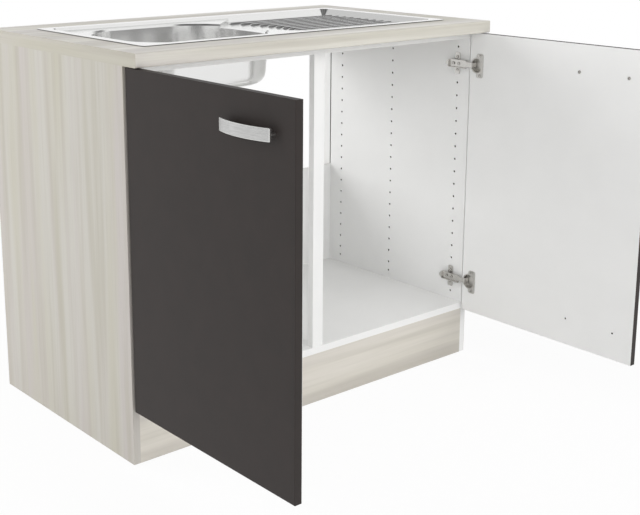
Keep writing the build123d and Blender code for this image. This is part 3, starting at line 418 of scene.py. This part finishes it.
# Hardboard: the lacquer shines a little, and the fibre is quite dull. The felt is drawn about twice as
# coarse as it is.
_, back_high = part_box("back_panel")
hardboard, tree, shader, place = new_material("hardboard back, white inside")
felt = spots(tree, place, sizes_mm=(1.1, 1.1, 1.1), detail=4.0)
fibre = add_node(tree, "Mix", {"Factor": felt, "A": "#82725F", "B": "#716250"}, data_type="RGBA")
bare = beyond(tree, place, "Y", back_high.y - SKIN)
white = white_skin(tree, place)
whole = add_node(tree, "Mix", {"Factor": bare, "A": white, "B": fibre}, data_type="RGBA")
finish_surface(tree, shader, whole, roughness=(bare, 0.42, 0.8), height=felt, depth_mm=0.03)
paint(hardboard, "back_panel")

# %% [markdown]
# ## Doors
# The fronts are the same board with an anthracite skin, pressed against a finely grained plate so that
# it looks silky and hides fingermarks. Its grain is too fine to model, so it is a height in the finish. The
# back is white, and so is the band on the right door's hinge edge. The other edges have the front's colour,
# and the holes show the core in darker tones, as painted shade.

# %% Door skins
ANTHRACITE = "#322C2A"
ANTHRACITE_SHADE = "#2F2A28"
# The painted shade on the bore walls starts this far below a door's faces, clear of its rounded edges.
BORE_START = 0.0015
# A dark matt skin mirrors little, so its specular level is low and the dark stays deep at a flat angle.
# The plate's fine grain is drawn a little coarser than it is, so that it shows.
door_low, door_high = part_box("door_right")
door_board, tree, shader, place = new_material("melamine door, anthracite front", Specular_IOR_Level=0.25)
cloud = spots(tree, place, sizes_mm=(40, 40, 40))
dark = add_node(tree, "Mix", {"Factor": cloud, "A": ANTHRACITE, "B": ANTHRACITE_SHADE}, data_type="RGBA")
past_back = beyond(tree, place, "X", door_low.x + SKIN, centre=0.0)
hinge_edge = beyond(tree, place, "Y", door_high.y - SKIN)
on_right = beyond(tree, place, "X", 0.0)
white_edge = add_node(tree, "Math", {0: hinge_edge, 1: on_right}, operation="MULTIPLY")
in_dark = add_node(tree, "Math", {0: past_back, 1: white_edge}, operation="SUBTRACT", use_clamp=True)
white = white_skin(tree, place)
skins = add_node(tree, "Mix", {"Factor": in_dark, "A": white, "B": dark}, data_type="RGBA")
# The bores' darker walls are painted shade.
whole = bored(tree, place, door_low, door_high, BORE_START, skins)
emboss = spots(tree, place, sizes_mm=(0.9, 0.9, 0.9), detail=1.0)
finish_surface(tree, shader, whole, roughness=(emboss, 0.45, 0.58), height=emboss, depth_mm=0.02)
paint(door_board, "door_left", "door_right")

# %% [markdown]
# ## Stainless steel
# The sink is pressed from one sheet of stainless steel and then satin finished, which leaves very fine
# parallel scratches. They blur what the steel mirrors more across than along. The shader's anisotropy could
# do that too, but drawn scratches also show close up. Steel mirrors the white room, so its own colour
# decides how bright it looks. Round the rim the sheet's outer edge gets a dark colour, painted shade for the
# shadow gap under the rim, and it draws a thin dark line on the worktop.

# %% Satin steel of the sink
RIM_WIDTH = 0.008
# The satin colour reaches this far down from the rim's top, and below it the edge is painted dark as shade.
SHADE_BELOW_RIM_TOP = 0.00025
# Satin steel: a bright, slightly blurred mirror of the room. Its scratches are drawn 0.35 mm wide, several
# times coarser than real ones, so that they show.
sink_low, sink_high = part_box("sink_basin")
sink_middle, sink_half = (sink_low + sink_high) / 2, (sink_high - sink_low) / 2
sink_steel, tree, shader, place = new_material("satin stainless steel", Metallic=1.0)
scratches = spots(tree, place, sizes_mm=(60, 0.35, 0.35), detail=3.0)
smears = spots(tree, place, sizes_mm=(80, 80, 80))
at_side = beyond(tree, place, "X", sink_half.x - RIM_WIDTH, centre=sink_middle.x)
at_front = beyond(tree, place, "Y", sink_half.y - RIM_WIDTH, centre=sink_middle.y)
on_rim = add_node(tree, "Math", {0: at_side, 1: at_front}, operation="MAXIMUM")
on_top = beyond(tree, place, "Z", sink_high.z - SHADE_BELOW_RIM_TOP)
# Painted shade: a dark colour on the rim's outer edge for the shadow gap under the rim.
painted_rim_shade = add_node(tree, "Math", {0: on_rim, 1: on_top}, operation="SUBTRACT", use_clamp=True)
colour = add_node(tree, "Mix", {"Factor": painted_rim_shade, "A": "#E8E8E7", "B": "#6C6D6F"}, data_type="RGBA")
finish_surface(tree, shader, colour, roughness=(smears, 0.16, 0.2), height=scratches, depth_mm=0.004)
paint(sink_steel, "sink_basin", "waste_rim", "strainer_basket")

# %% [markdown]
# The handles are flat bars of steel, brushed along their length. A thin bright line frames the bar, a
# painted highlight in a lighter colour along its edges. The line could be a face of its own, but it is under
# a millimetre wide, and a mask along the bar's edges is enough.

# %% Handles
EDGE_LINE = 0.0009
# Brushed steel: grey, with a soft glow along the bar. Its brush lines are drawn coarser than real ones.
handle_low, handle_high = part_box("handle_right")
handle_middle, handle_half = (handle_low + handle_high) / 2, (handle_high - handle_low) / 2
handle_steel, tree, shader, place = new_material("brushed steel handle", Metallic=1.0)
brush = spots(tree, place, sizes_mm=(0.3, 40, 0.3), detail=3.0)
lines = spots(tree, place, sizes_mm=(1.6, 60, 1.6), detail=3.0)
bar = add_node(tree, "Mix", {"Factor": lines, "A": "#D0D0CF", "B": "#BDBDBC"}, data_type="RGBA")
at_top = beyond(tree, place, "Z", handle_half.z - EDGE_LINE, centre=handle_middle.z)
at_end = beyond(tree, place, "Y", handle_half.y - EDGE_LINE, centre=handle_middle.y)
# Painted highlight: a lighter colour along the bar's top, bottom and end edges.
painted_edge_highlight = add_node(tree, "Math", {0: at_top, 1: at_end}, operation="MAXIMUM")
colour = add_node(tree, "Mix", {"Factor": painted_edge_highlight, "A": bar, "B": "#F2F2F0"}, data_type="RGBA")
finish_surface(tree, shader, colour, roughness=(brush, 0.26, 0.4), height=brush, depth_mm=0.004)
paint(handle_steel, "handle_left", "handle_right")

# %% [markdown]
# ## Hinges and small metal
# Screws, hinge arms and cups are steel with a bright nickel plating, pressed or turned and then tumbled, so
# they are a little warmer than the sink, and that tells the two metals apart. The cups are drawn deep, which
# leaves them duller than the arms, and their walls inside get a lighter colour, painted light that offsets
# the shade in the deep hollow.

# %% Nickel and zinc
# Nickel plating: sharp glints on rounded edges, with the shallow dents that tumbling leaves.
nickel, tree, shader, place = new_material("nickel-plated steel", Base_Color="#C9C7C3", Metallic=1.0)
tumble = spots(tree, place, sizes_mm=(1.5, 1.5, 1.5))
finish_surface(tree, shader, None, roughness=(tumble, 0.16, 0.3), height=tumble, depth_mm=0.006)
plated = [name for name in nodes if name.startswith("hinge_") or "screw" in name or "bracket" in name]
paint(nickel, *plated, "cam_bolts", "back_panel_nails", "sink_clips")

# Nickel on deep-drawn cups: a soft sheen instead of glints, and painted light in the hollow behind the
# flange.
cup_nickel, tree, shader, place = new_material("nickel-plated hinge cup", Metallic=1.0)
tumble = spots(tree, place, sizes_mm=(1.5, 1.5, 1.5))
# The lighter colour inside the cup is painted light against the hollow's shade.
inside = beyond(tree, place, "X", door_low.x + SKIN, centre=0.0)
colour = add_node(tree, "Mix", {"Factor": inside, "A": "#C9C7C3", "B": "#DEDCD8"}, data_type="RGBA")
finish_surface(tree, shader, colour, roughness=(tumble, 0.3, 0.45), height=tumble, depth_mm=0.006)
paint(cup_nickel, *[name for name in nodes if name.startswith(("hinge_cup_right", "hinge_cup_left"))])

# Zinc straight from the mould: a dull blue-grey with the grain of the casting.
zinc, tree, shader, place = new_material("bare zinc casting", Base_Color="#A4A5A7", Metallic=1.0)
cast = spots(tree, place, sizes_mm=(1.2, 1.2, 1.2))
finish_surface(tree, shader, None, roughness=(cast, 0.45, 0.6), height=cast, depth_mm=0.03)
paint(zinc, "cam_discs")

# %% [markdown]
# ## Beech, rubber and plastic
# The dowels are turned beech with their grain along the stick. The seals are matt black rubber, and the
# waste housing is injection-moulded polypropylene. Little of them shows, so one pattern does for each.

# %% Dowels, seals and waste housing
# Beech: pinkish brown and dry, with long fibres that catch no light.
beech, tree, shader, place = new_material("turned beech")
fibres = spots(tree, place, sizes_mm=(20, 0.8, 0.8))
colour = add_node(tree, "Mix", {"Factor": fibres, "A": "#D8B48A", "B": "#BF9468"}, data_type="RGBA")
finish_surface(tree, shader, colour, roughness=(fibres, 0.55, 0.7), height=fibres, depth_mm=0.05)
paint(beech, "wood_dowels")

# Rubber: nearly black, with a greyish bloom that dulls it in patches.
rubber, tree, shader, place = new_material("black rubber")
bloom = spots(tree, place, sizes_mm=(3, 3, 3))
colour = add_node(tree, "Mix", {"Factor": bloom, "A": "#1B1B1B", "B": "#262626"}, data_type="RGBA")
finish_surface(tree, shader, colour, roughness=(bloom, 0.62, 0.8), height=bloom, depth_mm=0.02)
paint(rubber, "sink_seal", "waste_gasket", "basket_seal")

# Polypropylene: a little waxy, because some light enters it and comes out beside its edges.
LIGHT_DEPTH = 0.002
plastic, tree, shader, place = new_material("moulded polypropylene", Subsurface_Weight=0.1)
shader.inputs["Subsurface Scale"].default_value = LIGHT_DEPTH
haze = spots(tree, place, sizes_mm=(8, 8, 8))
colour = add_node(tree, "Mix", {"Factor": haze, "A": "#E6E6E2", "B": "#DDDDD9"}, data_type="RGBA")
finish_surface(tree, shader, colour, roughness=(haze, 0.36, 0.48), height=haze, depth_mm=0.02)
paint(plastic, "waste_body")
